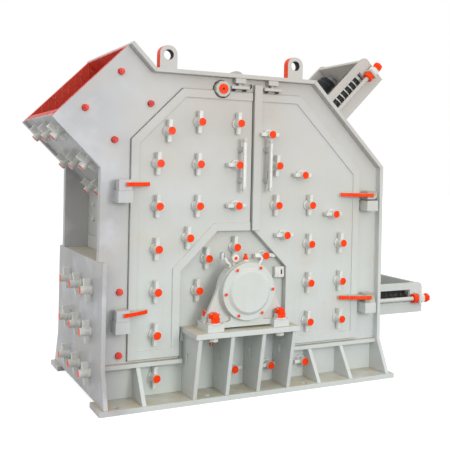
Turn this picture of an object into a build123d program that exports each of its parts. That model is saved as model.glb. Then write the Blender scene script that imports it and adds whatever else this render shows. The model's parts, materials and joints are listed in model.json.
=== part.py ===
from build123d import *
import os
from math import acos, atan2, cos, hypot, radians, sin, sqrt

# Impact crusher, millimetres.
# The origin is the centre of the foundation bolts on the underside of the base.
# +X runs from the feed mouth to the rear wall, +Z is up, and the front is at -Y.

ROOT_TWO = sqrt(2)
hex_sides = 6

# Housing outline, seen from the front
feed_face_x = -1177
rear_face_x = 1160
roof_z = 2355
slope_top_x = 500
slope_bottom_z = roof_z - (rear_face_x - slope_top_x)
wall_half_width = 500
wall_t = 25
frame_t = 35
cover_t = 30
cover_overhang = 95
cover_half_width = wall_half_width + cover_overhang
wall_inner_y = wall_half_width - wall_t
frame_half_width = wall_half_width + frame_t

# Base
rail_half_length = 1207
rail_outer_y = 727
rail_inner_y = 485
rail_t = 36
bolt_x = 1080
bolt_y = 675
inner_bolt_x = 400
bolt_hole_r = 21

# Ledge and gussets along the foot of each side wall
ledge_top_z = 290
ledge_t = 30
ledge_outer_y = 572
gusset_t = 30
gusset_foot_gap = 4
gusset_xs = [-893, 504, 796]

# Rotor and bearings
rotor_x = -138
rotor_z = 778
rotor_tip_r = 500
drum_r = 430
rotor_half_length = 420
shaft_r = 80
journal_r = 55
drive_end_r = 50
drive_end_length = 190
bore_clearance = 0.05
blow_bar_count = 4
blow_bar_t = 80
blow_bar_depth = 150
blow_bar_lean = 12

# Bearing table
table_half_length = 412
table_top_z = 510
table_t = 37
table_outer_y = 820
table_gusset_inset = 36
table_gusset_drop = 12
table_rib_h = 70
table_rib_t = 20
window_w = 26
window_side_h = 66
window_z = 300

# Bearing housing
housing_front_y = 734
housing_back_y = 652
housing_r = 212
housing_foot_half = 326
housing_foot_h = 54
housing_foot_w = 126
housing_foot_reach = 52
housing_relief_h = 14
housing_neck_half = 126
housing_neck_fillet = 24
housing_web_t = 30
cover_r = 208
cover_disc_t = 38
boss_base_r = 168
boss_r = 147
boss_t = 20
wall_bore_gap = 30
cover_bore_gap = 5
drive_shoulder_gap = 5

# Octagonal bearing plate left fixed between the door leaves
plate_x = -150
octagon_half = 434
octagon_top_half = 152
octagon_top_z = 1195
octagon_shoulder_z = octagon_top_z - (octagon_half - octagon_top_half)

# Door leaves
leaf_gap = 5
leaf_t = 42
border_t = 10
border_w = 60
landing = 60
leaf_bottom_z = 309
leaf_top_z = 2225
split_x = -24
split_gap = 10
left_leaf_x = -967
left_leaf_shoulder_z = 1850
right_leaf_x = 955
right_leaf_shoulder_z = 1651
bar_w = 66
bar_t = 12
bar_top_z = 2287
notch_gap = 6
frame_gap = 6

# Hinges
pin_offset = 65
pin_y = 606
pin_r = 15
pin_clearance = 0.5
block_half_w = 52
block_front_y = 652
block_h = 82
knuckle_half_w = 46
knuckle_h = 76
knuckle_gap = 0.5
strap_t = 28
strap_rise = 30
strap_tip_w = 12
strap_bulge = 8
strap_reach_left = 200
strap_reach_right = 255
strap_front_y = 664
knuckle_back_y = 566
knuckle_front_y = 645
left_hinge_zs = [1493, 602]
right_hinge_zs = [1420, 600]

# Handles on the leaves
handle_z0 = 1490
handle_z1 = 1880
handle_w = 28
handle_standoff = 62
handle_offset_left = 99
handle_offset_right = 119
handle_post_inset = 80
handle_post_w = 22

# Clamps over the door top
clamp_xs = [-148, 127]
clamp_block_w = 84
clamp_block_h = 38
clamp_depth = 55
clamp_foot_w = 146
clamp_foot_h = 22
clamp_foot_lift = 20
clamp_stem_width = 24

# Feed chute at forty-five degrees
chute_floor_sum = 470
chute_roof_sum = 1550
hopper_roof_length = 240
floor_recess = 18
chute_plate_t = 30
liner_t = 25
liner_gap = 0.3
lip_x = -700
side_liner_length = 640

# Feed end
recess_x = -987
shelf_z = 1000
end_plate_half = 630
end_plate_t = 32
panel_t = 25

# Lifting lugs
lug_xs = [-703, 339]
lug_y = 512
lug_w = 134
lug_h = 170
lug_t = 66
lug_hole_r = 36
lug_corner_share = 0.45

# Adjusters of the two impact curtains
adjuster_reach = 645
adjuster_h = 260
cheek_y = 325
cheek_t = 30
cheek_corner_r = 40
window_start = 60
window_length = 450
window_h = 104
window_rise = 18
slope_adjuster_diff = 1303
rear_adjuster_z = 550
bridge_start = 570
bridge_t = 30
spindle_y = 205
spindle_r = 28
spindle_bore_gap = 5
spindle_end = 20
nut_width = 90
nut_t = 38
spring_r = 97
spring_length = 505

# Side rods of the adjusters, with their lugs, collars, nuts and end nuts
rod_r = 18
rod_gap = 2
rod_lug_start = 547
rod_lug_t = 20
rod_lug_half = 42
rod_lug_reach = 90
rod_collar_width = 78
rod_collar_sides = 12
rod_collar_t = 44
rod_nut_width = 76
rod_nut_t = 44
end_nut_width = 62
end_nut_t = 61

# Impact curtains
upper_pivot = (-284, 2240)
lower_pivot = (1010, 1280)
pivot_r = 45
eye_wall = 30
pad_length = 80
pad_half = 60
curtain_half_width = 430
curtain_t = 90
upper_tip_angle = 48
upper_tip_gap = 70
lower_tip_angle = -28
lower_tip_gap = 50
collar_r = 57
collar_sides = 8
collar_depth = 76


def write_piece(piece, name):
    """Label one finished piece and write it as its own file."""
    piece.label = name
    export_step(piece, f"parts/{name}.step")


def write_pair(piece, name):
    """Write the front piece and its mirror image at the back."""
    write_piece(piece, f"{name}_front")
    with BuildPart() as twin:
        mirror(piece, about=Plane.XZ)
    write_piece(twin.part, f"{name}_back")


def front_plane(y):
    """A sketch plane facing the front, at a distance y before the centre."""
    return Plane.XZ.offset(y)


def polygon(points, mode=Mode.ADD):
    """A face with its corners at the points, in the plane of the sketch."""
    return Polygon(*points, align=None, mode=mode)


def chute_point(total, diff):
    """A point of the chute, from the sum and the difference of Z and X."""
    return ((total - diff) / 2, (total + diff) / 2)


os.makedirs("parts", exist_ok=True)

# Base rails
with BuildPart() as base_rail:
    with BuildSketch():
        with Locations((0, -(rail_outer_y + rail_inner_y) / 2)):
            Rectangle(2 * rail_half_length, rail_outer_y - rail_inner_y)
        with Locations([(x, -bolt_y) for x in (-bolt_x, -inner_bolt_x, inner_bolt_x, bolt_x)]):
            Circle(bolt_hole_r, mode=Mode.SUBTRACT)
    extrude(amount=rail_t)
write_pair(base_rail.part, "base_rail")

# Ledge on each side of the bearing table
end_plate_x = feed_face_x + end_plate_t
cover_inner_x = rear_face_x - cover_t
table_x0 = plate_x - table_half_length
table_x1 = plate_x + table_half_length
with BuildPart() as base_ledge:
    with BuildSketch(Plane.XY.offset(ledge_top_z - ledge_t)):
        for x0, x1 in ((end_plate_x, table_x0), (table_x1, cover_inner_x)):
            with Locations(((x0 + x1) / 2, -(wall_half_width + ledge_outer_y) / 2)):
                Rectangle(x1 - x0, ledge_outer_y - wall_half_width)
    extrude(amount=ledge_t)
write_pair(base_ledge.part, "base_ledge")

# Gussets below the ledge and below the table
gusset_foot_y = rail_outer_y - gusset_foot_gap
table_low_z = table_top_z - table_t
table_gusset_half = table_half_length - table_gusset_inset
table_gusset_count = 4
table_gusset_pitch = 2 * table_gusset_half / (table_gusset_count - 1)
with BuildPart() as base_gussets:
    for x in gusset_xs:
        with BuildSketch(Plane.YZ.offset(x - gusset_t / 2)):
            polygon([
                (-wall_half_width, rail_t),
                (-gusset_foot_y, rail_t),
                (-ledge_outer_y, ledge_top_z - ledge_t),
                (-wall_half_width, ledge_top_z - ledge_t),
            ])
        extrude(amount=gusset_t)
    for i in range(table_gusset_count):
        gusset_x = plate_x - table_gusset_half + i * table_gusset_pitch
        with BuildSketch(Plane.YZ.offset(gusset_x - gusset_t / 2)):
            polygon([
                (-wall_half_width, rail_t),
                (-gusset_foot_y, rail_t),
                (-(table_outer_y - table_gusset_drop), table_low_z),
                (-wall_half_width, table_low_z),
            ])
            with Locations((-(wall_half_width + gusset_foot_y) / 2, window_z)):
                Rectangle(window_w, window_side_h, mode=Mode.SUBTRACT)
            with Locations((-(wall_half_width + table_rib_t / 2), table_low_z - table_rib_h / 2)):
                Rectangle(table_rib_t, table_rib_h, mode=Mode.SUBTRACT)
        extrude(amount=gusset_t)
write_pair(base_gussets.part, "base_gussets")

# Bearing table
with BuildPart() as bearing_table:
    with BuildSketch(Plane.XY.offset(table_low_z)):
        with Locations((plate_x, -(wall_half_width + table_outer_y) / 2)):
            Rectangle(2 * table_half_length, table_outer_y - wall_half_width)
    extrude(amount=table_t)
    with BuildSketch(Plane.XY.offset(table_low_z - table_rib_h)):
        with Locations((plate_x, -(wall_half_width + table_rib_t / 2))):
            Rectangle(2 * table_half_length, table_rib_t)
    extrude(amount=table_rib_h)
write_pair(bearing_table.part, "bearing_table")

# Door leaf outlines, in X and Z
leaf_left_edge = split_x - split_gap / 2
leaf_right_edge = split_x + split_gap / 2
octagon_left = plate_x - octagon_half
octagon_right = plate_x + octagon_half


def left_leaf_points(extra=0):
    """Outline of the left leaf; extra lengthens it past the split."""
    edge = leaf_left_edge + extra
    return [
        (left_leaf_x, leaf_bottom_z),
        (octagon_left, leaf_bottom_z),
        (octagon_left, octagon_shoulder_z),
        (plate_x - octagon_top_half, octagon_top_z),
        (edge, octagon_top_z),
        (edge, leaf_top_z),
        (left_leaf_x + leaf_top_z - left_leaf_shoulder_z, leaf_top_z),
        (left_leaf_x, left_leaf_shoulder_z),
    ]


def right_leaf_points(extra=0):
    """Outline of the right leaf; extra lengthens it past the split."""
    edge = leaf_right_edge - extra
    return [
        (right_leaf_x, leaf_bottom_z),
        (octagon_right, leaf_bottom_z),
        (octagon_right, octagon_shoulder_z),
        (plate_x + octagon_top_half, octagon_top_z),
        (edge, octagon_top_z),
        (edge, leaf_top_z),
        (right_leaf_x - leaf_top_z + right_leaf_shoulder_z, leaf_top_z),
        (right_leaf_x, right_leaf_shoulder_z),
    ]


# Side walls: an inner plate with the door openings and the shaft hole cut through,
# and an outer plate that frames the door leaves
cover_step = cover_t * ROOT_TWO
wall_top_z = roof_z - cover_t
slope_sum = rear_face_x + slope_bottom_z
roof_valley_diff = 2 * roof_z - chute_roof_sum
mouth_diff = roof_valley_diff + hopper_roof_length * ROOT_TWO
floor_low_sum = chute_floor_sum + floor_recess * ROOT_TWO
floor_high_sum = floor_low_sum + chute_plate_t * ROOT_TWO
liner_step = liner_t * ROOT_TWO
gap_step = liner_gap * ROOT_TWO
liner_low_sum = floor_high_sum + liner_step + gap_step
liner_high_sum = chute_roof_sum - cover_step - liner_step - gap_step
liner_end_diff = mouth_diff - side_liner_length * ROOT_TWO
half_side_angle = 180 / collar_sides
collar_corner_r = collar_r / cos(radians(half_side_angle))
wall_upper_points = [
    (cover_inner_x, slope_sum - cover_step - cover_inner_x),
    (slope_sum - cover_step - wall_top_z, wall_top_z),
    (chute_roof_sum - cover_step - wall_top_z, wall_top_z),
    chute_point(chute_roof_sum - cover_step, mouth_diff),
    chute_point(chute_floor_sum, mouth_diff),
    (feed_face_x, chute_floor_sum - feed_face_x),
    (feed_face_x, shelf_z),
    (end_plate_x, shelf_z),
]
side_liner_points = [
    chute_point(liner_low_sum, mouth_diff),
    chute_point(liner_high_sum, mouth_diff),
    chute_point(liner_high_sum, liner_end_diff),
    chute_point(liner_low_sum, liner_end_diff),
]
with BuildPart() as side_wall:
    with BuildSketch(front_plane(wall_inner_y)):
        polygon([(end_plate_x, rail_t), (cover_inner_x, rail_t)] + wall_upper_points)
        polygon(side_liner_points, mode=Mode.SUBTRACT)
        with Locations((rotor_x, rotor_z)):
            Circle(shaft_r + wall_bore_gap, mode=Mode.SUBTRACT)
    extrude(amount=wall_t)
    with BuildSketch(front_plane(wall_inner_y)) as left_opening:
        polygon(left_leaf_points())
        offset(amount=-landing, kind=Kind.INTERSECTION, mode=Mode.REPLACE)
    extrude(amount=wall_t, mode=Mode.SUBTRACT)
    with BuildSketch(front_plane(wall_inner_y)) as right_opening:
        polygon(right_leaf_points())
        offset(amount=-landing, kind=Kind.INTERSECTION, mode=Mode.REPLACE)
    extrude(amount=wall_t, mode=Mode.SUBTRACT)
    with BuildSketch(front_plane(wall_half_width)):
        polygon([(end_plate_x, ledge_top_z), (cover_inner_x, ledge_top_z)] + wall_upper_points)
        with BuildSketch(mode=Mode.PRIVATE) as door_recess:
            polygon(left_leaf_points(split_gap))
            polygon(right_leaf_points(split_gap))
            offset(amount=frame_gap, kind=Kind.INTERSECTION, mode=Mode.REPLACE)
        add(door_recess.sketch, mode=Mode.SUBTRACT)
        polygon([
            (octagon_left, ledge_top_z),
            (octagon_right, ledge_top_z),
            (octagon_right, octagon_shoulder_z),
            (plate_x + octagon_top_half, octagon_top_z),
            (plate_x - octagon_top_half, octagon_top_z),
            (octagon_left, octagon_shoulder_z),
        ], mode=Mode.SUBTRACT)
        with Locations(upper_pivot):
            Circle(collar_corner_r + notch_gap, mode=Mode.SUBTRACT)
    extrude(amount=frame_t)
write_pair(side_wall.part, "side_wall")

# Each adjuster has a plane of its own, with X outwards along its spindles
slope_adjuster_plane = Plane(
    origin=((slope_sum - slope_adjuster_diff) / 2, 0, (slope_sum + slope_adjuster_diff) / 2),
    x_dir=(1, 0, 1),
    z_dir=(0, -1, 0),
)
rear_adjuster_plane = Plane(origin=(rear_face_x, 0, rear_adjuster_z), x_dir=(1, 0, 0), z_dir=(0, -1, 0))


def axis_plane(plane, reach, side_y):
    """A plane across an adjuster's spindle or rod, at a reach from the housing."""
    return Plane(origin=plane.from_local_coords((reach, 0, side_y)), z_dir=plane.x_dir)


# Roof, rear slope and rear wall
with BuildPart() as roof_plate:
    with BuildSketch(front_plane(-cover_half_width)):
        polygon([
            (chute_roof_sum - cover_step - wall_top_z, wall_top_z),
            (slope_sum - cover_step - wall_top_z, wall_top_z),
            (slope_sum - roof_z, roof_z),
            (chute_roof_sum - roof_z, roof_z),
        ])
    extrude(amount=2 * cover_half_width)
write_piece(roof_plate.part, "roof_plate")

with BuildPart() as slope_plate:
    with BuildSketch(front_plane(-cover_half_width)):
        polygon([
            (slope_sum - cover_step - wall_top_z, wall_top_z),
            (slope_sum - roof_z, roof_z),
            (rear_face_x, slope_bottom_z),
            (cover_inner_x, slope_sum - cover_step - cover_inner_x),
        ])
    extrude(amount=2 * cover_half_width)
    with Locations([axis_plane(slope_adjuster_plane, 0, side * spindle_y) for side in (-1, 1)]):
        Hole(spindle_r + spindle_bore_gap)
write_piece(slope_plate.part, "slope_plate")

with BuildPart() as rear_wall_plate:
    with BuildSketch(Plane.YZ.offset(cover_inner_x)):
        polygon([
            (-gusset_foot_y, rail_t),
            (gusset_foot_y, rail_t),
            (cover_half_width, ledge_top_z),
            (cover_half_width, slope_bottom_z),
            (-cover_half_width, slope_bottom_z),
            (-cover_half_width, ledge_top_z),
        ])
        with Locations((-spindle_y, rear_adjuster_z), (spindle_y, rear_adjuster_z)):
            Circle(spindle_r + spindle_bore_gap, mode=Mode.SUBTRACT)
    extrude(amount=cover_t)
    with BuildSketch(front_plane(-cover_half_width)):
        polygon([
            (rear_face_x, slope_bottom_z),
            (cover_inner_x, slope_sum - cover_step - cover_inner_x),
            (cover_inner_x, slope_bottom_z + cover_t),
            (rear_face_x, slope_bottom_z + cover_t),
        ])
    extrude(amount=2 * cover_half_width, mode=Mode.SUBTRACT)
write_piece(rear_wall_plate.part, "rear_wall_plate")

# Feed end: lower plate, shelf and recessed panel
with BuildPart() as feed_end_plate:
    with BuildSketch(Plane.YZ.offset(feed_face_x)):
        polygon([
            (-gusset_foot_y, rail_t),
            (gusset_foot_y, rail_t),
            (end_plate_half, ledge_top_z),
            (end_plate_half, shelf_z),
            (-end_plate_half, shelf_z),
            (-end_plate_half, ledge_top_z),
        ])
    extrude(amount=end_plate_t)
write_piece(feed_end_plate.part, "feed_end_plate")

with BuildPart() as feed_end_shelf:
    with BuildSketch(Plane.XY.offset(shelf_z - cover_t)):
        with Locations(((end_plate_x + recess_x) / 2, 0)):
            Rectangle(recess_x - end_plate_x, 2 * wall_inner_y)
    extrude(amount=cover_t)
write_piece(feed_end_shelf.part, "feed_end_shelf")

with BuildPart() as feed_end_panel:
    with BuildSketch(front_plane(-wall_inner_y)):
        polygon([
            (recess_x, shelf_z - cover_t),
            (recess_x + panel_t, shelf_z - cover_t),
            (recess_x + panel_t, floor_low_sum - recess_x - panel_t),
            (recess_x, floor_low_sum - recess_x),
        ])
    extrude(amount=2 * wall_inner_y)
write_piece(feed_end_panel.part, "feed_end_panel")

# Feed hopper floor and roof
lip_diff = chute_floor_sum - 2 * lip_x
with BuildPart() as hopper_floor:
    with BuildSketch(front_plane(-wall_inner_y)):
        polygon([
            chute_point(floor_low_sum, mouth_diff),
            chute_point(floor_high_sum, mouth_diff),
            chute_point(floor_high_sum, lip_diff),
            chute_point(floor_low_sum, lip_diff),
        ])
    extrude(amount=2 * wall_inner_y)
write_piece(hopper_floor.part, "hopper_floor")

with BuildPart() as hopper_roof:
    with BuildSketch(front_plane(-cover_half_width)):
        polygon([
            chute_point(chute_roof_sum - cover_step, mouth_diff),
            chute_point(chute_roof_sum, mouth_diff),
            (chute_roof_sum - roof_z, roof_z),
            (chute_roof_sum - cover_step - wall_top_z, wall_top_z),
        ])
    extrude(amount=2 * cover_half_width)
write_piece(hopper_roof.part, "hopper_roof")

# Chute liners on the floor, the roof and both sides
with BuildPart() as hopper_liners:
    with BuildSketch(front_plane(-wall_inner_y + liner_gap)):
        polygon([
            chute_point(floor_high_sum, mouth_diff),
            chute_point(floor_high_sum + liner_step, mouth_diff),
            chute_point(floor_high_sum + liner_step, lip_diff),
            chute_point(floor_high_sum, lip_diff),
        ])
        polygon([
            chute_point(chute_roof_sum - cover_step - liner_step, mouth_diff),
            chute_point(chute_roof_sum - cover_step, mouth_diff),
            chute_point(chute_roof_sum - cover_step, roof_valley_diff),
            chute_point(chute_roof_sum - cover_step - liner_step, roof_valley_diff),
        ])
    extrude(amount=2 * (wall_inner_y - liner_gap))
    for side in (-1, 1):
        with BuildSketch(front_plane(side * (wall_half_width - wall_t / 2) - wall_t / 2)):
            polygon(side_liner_points)
            offset(amount=-liner_gap, kind=Kind.INTERSECTION, mode=Mode.REPLACE)
        extrude(amount=wall_t)
write_piece(hopper_liners.part, "hopper_liners")

# Lifting lugs
with BuildPart() as lifting_lugs:
    for side in (-1, 1):
        with BuildSketch(front_plane(side * lug_y - lug_t / 2)):
            for x in lug_xs:
                with Locations((x, roof_z + lug_h / 2)):
                    Rectangle(lug_w, lug_h)
        extrude(amount=lug_t)
    fillet(lifting_lugs.edges().filter_by(Axis.Y).group_by(Axis.Z)[-1], lug_w * lug_corner_share)
    for x in lug_xs:
        with Locations(Plane(origin=(x, 0, roof_z + lug_h - lug_w / 2), z_dir=(0, -1, 0))):
            Hole(lug_hole_r)
write_piece(lifting_lugs.part, "lifting_lugs")

# Door leaves: a plate with a welded border, and a cover bar on the right leaf
leaf_back_y = wall_half_width + leaf_gap
leaf_face_y = leaf_back_y + leaf_t


def door_leaf(points, extra_points, is_right):
    """One front leaf from its outline; the left one has a notch for the shaft collar."""
    with BuildPart() as leaf:
        with BuildSketch(front_plane(leaf_back_y)):
            polygon(points)
        extrude(amount=leaf_t)
        with BuildSketch(front_plane(leaf_face_y)):
            polygon(points)
            with BuildSketch(mode=Mode.PRIVATE) as panel:
                polygon(extra_points)
                offset(amount=-border_w, kind=Kind.INTERSECTION, mode=Mode.REPLACE)
            add(panel.sketch, mode=Mode.SUBTRACT)
        extrude(amount=border_t)
        if is_right:
            with BuildSketch(front_plane(leaf_face_y)):
                with Locations((leaf_right_edge + bar_w / 2, (octagon_top_z + bar_top_z) / 2)):
                    Rectangle(bar_w, bar_top_z - octagon_top_z)
            extrude(amount=border_t + bar_t)
        else:
            with BuildSketch(front_plane(leaf_back_y)):
                with Locations(upper_pivot):
                    Circle(collar_corner_r + notch_gap)
            extrude(amount=leaf_t + border_t, mode=Mode.SUBTRACT)
    return leaf.part


write_pair(door_leaf(left_leaf_points(), left_leaf_points(border_w), False), "door_left")
write_pair(door_leaf(right_leaf_points(), right_leaf_points(border_w), True), "door_right")

# Hinges: fixed blocks with pins on the wall, knuckles with straps on the leaves
left_pin_x = left_leaf_x - pin_offset
right_pin_x = right_leaf_x + pin_offset
border_face_y = leaf_face_y + border_t
strap_tip_y = border_face_y + strap_tip_w
with BuildPart() as hinge_blocks:
    for pin_x, zs in ((left_pin_x, left_hinge_zs), (right_pin_x, right_hinge_zs)):
        for z in zs:
            with BuildSketch(Plane.XY.offset(z - block_h)):
                with Locations((pin_x, -(frame_half_width + block_front_y) / 2)):
                    Rectangle(2 * block_half_w, block_front_y - frame_half_width)
            extrude(amount=block_h)
            with BuildSketch(Plane.XY.offset(z)):
                with Locations((pin_x, -pin_y)):
                    Circle(pin_r)
            extrude(amount=knuckle_h)
write_pair(hinge_blocks.part, "hinge_blocks")


def door_fittings(pin_x, zs, reach, handle_x):
    """Hinge knuckles with straps and the handle of one front leaf."""
    with BuildPart() as fittings:
        for z in zs:
            with BuildSketch(Plane.XY.offset(z + knuckle_gap)):
                with Locations((pin_x, -(knuckle_front_y + knuckle_back_y) / 2)):
                    Rectangle(2 * knuckle_half_w, knuckle_front_y - knuckle_back_y)
            extrude(amount=knuckle_h)
            with BuildSketch(Plane.XY.offset(z + knuckle_gap + strap_rise)):
                with BuildLine():
                    Polyline(
                        (pin_x, -strap_front_y),
                        (pin_x, -border_face_y),
                        (pin_x + reach, -border_face_y),
                        (pin_x + reach, -strap_tip_y),
                    )
                    ThreePointArc(
                        (pin_x + reach, -strap_tip_y),
                        (pin_x + reach / 2, -(strap_tip_y + strap_front_y) / 2 - strap_bulge),
                        (pin_x, -strap_front_y),
                    )
                make_face()
            extrude(amount=strap_t)
            with Locations((pin_x, -pin_y, z + knuckle_gap + knuckle_h)):
                Hole(pin_r + pin_clearance, depth=knuckle_h)
        for z in (handle_z0 + handle_post_inset, handle_z1 - handle_post_inset):
            with BuildSketch(front_plane(leaf_face_y)):
                with Locations((handle_x, z)):
                    Rectangle(handle_post_w, handle_post_w)
            extrude(amount=handle_standoff)
        with BuildSketch(front_plane(leaf_face_y + handle_standoff)):
            with Locations((handle_x, (handle_z0 + handle_z1) / 2)):
                Rectangle(handle_w, handle_z1 - handle_z0)
        extrude(amount=handle_w)
    return fittings.part


left_handle_x = split_x - handle_offset_left
right_handle_x = split_x + handle_offset_right
left_fittings = door_fittings(left_pin_x, left_hinge_zs, strap_reach_left, left_handle_x)
right_fittings = door_fittings(right_pin_x, right_hinge_zs, -strap_reach_right, right_handle_x)
write_pair(left_fittings, "door_fittings_left")
write_pair(right_fittings, "door_fittings_right")

# Clamps over the door tops: a block, a stem and a foot
clamp_foot_z = leaf_top_z + clamp_foot_lift
with BuildPart() as door_clamps:
    with BuildSketch(front_plane(frame_half_width)):
        for x in clamp_xs:
            with Locations((x, wall_top_z - clamp_block_h / 2)):
                Rectangle(clamp_block_w, clamp_block_h)
            with Locations((x, clamp_foot_z + clamp_foot_h / 2)):
                Rectangle(clamp_foot_w, clamp_foot_h)
    extrude(amount=clamp_depth)
    with BuildSketch(Plane.XY.offset(clamp_foot_z + clamp_foot_h)):
        for x in clamp_xs:
            with Locations((x, -frame_half_width - clamp_depth / 2)):
                RegularPolygon(clamp_stem_width / 2, hex_sides, major_radius=False)
    extrude(amount=wall_top_z - clamp_block_h - clamp_foot_z - clamp_foot_h)
write_pair(door_clamps.part, "door_clamps")

# Bearing housings: a body on a neck and a sole, a web down to each foot, and the feet
housing_mid_y = (housing_front_y + housing_back_y) / 2
housing_depth = housing_front_y - housing_back_y
foot_mid_x = housing_foot_half - housing_foot_w / 2
foot_top_z = table_top_z + housing_foot_h
foot_drop = rotor_z - foot_top_z
web_angle = acos(housing_r / hypot(housing_foot_half, foot_drop)) - atan2(foot_drop, housing_foot_half)
web_top_half = housing_r * cos(web_angle)
web_top_z = rotor_z + housing_r * sin(web_angle)
with BuildPart() as bearing_housing:
    with BuildSketch(front_plane(housing_back_y)) as body:
        polygon([
            (rotor_x - foot_mid_x, table_top_z + housing_relief_h),
            (rotor_x + foot_mid_x, table_top_z + housing_relief_h),
            (rotor_x + foot_mid_x, foot_top_z),
            (rotor_x + housing_neck_half, foot_top_z),
            (rotor_x + housing_neck_half, rotor_z),
            (rotor_x - housing_neck_half, rotor_z),
            (rotor_x - housing_neck_half, foot_top_z),
            (rotor_x - foot_mid_x, foot_top_z),
        ])
        neck_corners = body.vertices().group_by(Axis.Y)[1].sort_by(Axis.X)[1:3]
        fillet(neck_corners, housing_neck_fillet)
        with Locations((rotor_x, rotor_z)):
            Circle(housing_r)
    extrude(amount=housing_depth)
    with BuildSketch(front_plane(housing_mid_y - housing_web_t / 2)):
        polygon([
            (rotor_x - housing_foot_half, foot_top_z),
            (rotor_x + housing_foot_half, foot_top_z),
            (rotor_x + web_top_half, web_top_z),
            (rotor_x - web_top_half, web_top_z),
        ])
    extrude(amount=housing_web_t)
    with BuildSketch(Plane.XY.offset(table_top_z)):
        for side in (-1, 1):
            with Locations((rotor_x + side * foot_mid_x, -housing_mid_y)):
                Rectangle(housing_foot_w, housing_depth + 2 * housing_foot_reach)
    extrude(amount=housing_foot_h)
    with BuildSketch(front_plane(housing_back_y)):
        with Locations((rotor_x, rotor_z)):
            Circle(journal_r + bore_clearance)
    extrude(amount=housing_depth, mode=Mode.SUBTRACT)
write_pair(bearing_housing.part, "bearing_housing")

# Closed cover at the front, bored cover at the drive end
cover_depth = cover_disc_t + boss_t
with BuildPart() as cover_front:
    with BuildSketch(Plane(origin=(rotor_x, -housing_front_y, rotor_z), x_dir=(1, 0, 0), z_dir=(0, 0, -1))):
        polygon([
            (0, 0),
            (cover_r, 0),
            (cover_r, cover_disc_t),
            (boss_base_r, cover_disc_t),
            (boss_r, cover_depth),
            (0, cover_depth),
        ])
    revolve(axis=Axis((rotor_x, 0, rotor_z), (0, -1, 0)))
write_piece(cover_front.part, "bearing_cover_front")
with BuildPart() as cover_back:
    mirror(cover_front.part, about=Plane.XZ)
    with BuildSketch(front_plane(-housing_front_y - cover_depth)):
        with Locations((rotor_x, rotor_z)):
            Circle(journal_r + cover_bore_gap)
    extrude(amount=cover_depth, mode=Mode.SUBTRACT)
write_piece(cover_back.part, "bearing_cover_back")

# Rotor shaft, seated in both housings, with the drive end at the back
drive_shoulder_y = housing_front_y + cover_depth + drive_shoulder_gap
drive_face_y = drive_shoulder_y + drive_end_length
with BuildPart() as rotor_shaft:
    with BuildSketch(front_plane(-housing_back_y + liner_gap)):
        with Locations((rotor_x, rotor_z)):
            Circle(shaft_r)
    extrude(amount=2 * (housing_back_y - liner_gap))
    with BuildSketch(front_plane(-drive_shoulder_y)):
        with Locations((rotor_x, rotor_z)):
            Circle(journal_r)
    extrude(amount=drive_shoulder_y + housing_front_y - liner_gap)
    with BuildSketch(front_plane(-drive_face_y)):
        with Locations((rotor_x, rotor_z)):
            Circle(drive_end_r)
    extrude(amount=drive_end_length)
write_piece(rotor_shaft.part, "rotor_shaft")

# Rotor drum with seats for the blow bars
bar_seat_r = rotor_tip_r - blow_bar_depth
with BuildPart() as rotor_drum:
    with BuildSketch(front_plane(-rotor_half_length)):
        with Locations((rotor_x, rotor_z)):
            Circle(drum_r)
            Circle(shaft_r + bore_clearance, mode=Mode.SUBTRACT)
            with PolarLocations(bar_seat_r + blow_bar_depth / 2, blow_bar_count, blow_bar_lean):
                Rectangle(blow_bar_depth, blow_bar_t + 2 * liner_gap, mode=Mode.SUBTRACT)
    extrude(amount=2 * rotor_half_length)
write_piece(rotor_drum.part, "rotor_drum")

with BuildPart() as blow_bars:
    with BuildSketch(front_plane(-rotor_half_length)):
        with Locations((rotor_x, rotor_z)):
            with PolarLocations(bar_seat_r + blow_bar_depth / 2, blow_bar_count, blow_bar_lean):
                Rectangle(blow_bar_depth - 2 * liner_gap, blow_bar_t)
    extrude(amount=2 * rotor_half_length)
write_piece(blow_bars.part, "blow_bars")

# Impact curtains hung from their pivot shafts


def tip_point(angle, gap):
    """The tip of a curtain, at an angle round the rotor and a gap from the blow bars."""
    reach = rotor_tip_r + gap
    return rotor_x + reach * cos(radians(angle)), rotor_z + reach * sin(radians(angle))


upper_tip = tip_point(upper_tip_angle, upper_tip_gap)
lower_tip = tip_point(lower_tip_angle, lower_tip_gap)


def back_normal(pivot, tip):
    """The unit normal of a curtain's back, in X and Z."""
    run = Vector(tip[0] - pivot[0], 0, tip[1] - pivot[1]).normalized()
    return -run.Z, run.X


def spindle_run(pivot, tip, plane):
    """How far the curtain's back lies from the housing, along the spindle."""
    nx, nz = back_normal(pivot, tip)
    ahead = (plane.origin.X - pivot[0]) * nx + (plane.origin.Z - pivot[1]) * nz - curtain_t
    return ahead / (plane.x_dir.X * nx + plane.x_dir.Z * nz)


def curtain(pivot, tip, plane):
    """A thick curtain from its pivot eye to its tip, with the pads for its spindles."""
    px, pz = pivot
    tx, tz = tip
    nx, nz = back_normal(pivot, tip)
    pad_end = spindle_run(pivot, tip, plane) - pad_length
    with BuildPart() as hung:
        with BuildSketch(front_plane(-curtain_half_width)):
            polygon([
                (px, pz),
                (tx, tz),
                (tx + nx * curtain_t, tz + nz * curtain_t),
                (px + nx * curtain_t, pz + nz * curtain_t),
            ])
            with Locations(pivot):
                Circle(pivot_r + eye_wall)
                Circle(pivot_r + bore_clearance, mode=Mode.SUBTRACT)
        extrude(amount=2 * curtain_half_width)
        for side in (-1, 1):
            with BuildSketch(plane.offset(side * spindle_y - pad_half)):
                with Locations((-pad_end - (pad_length + curtain_t / 2) / 2, 0)):
                    Rectangle(pad_length + curtain_t / 2, 2 * pad_half)
            extrude(amount=2 * pad_half)
    return hung.part


write_piece(curtain(upper_pivot, upper_tip, slope_adjuster_plane), "curtain_upper")
write_piece(curtain(lower_pivot, lower_tip, rear_adjuster_plane), "curtain_lower")

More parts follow.
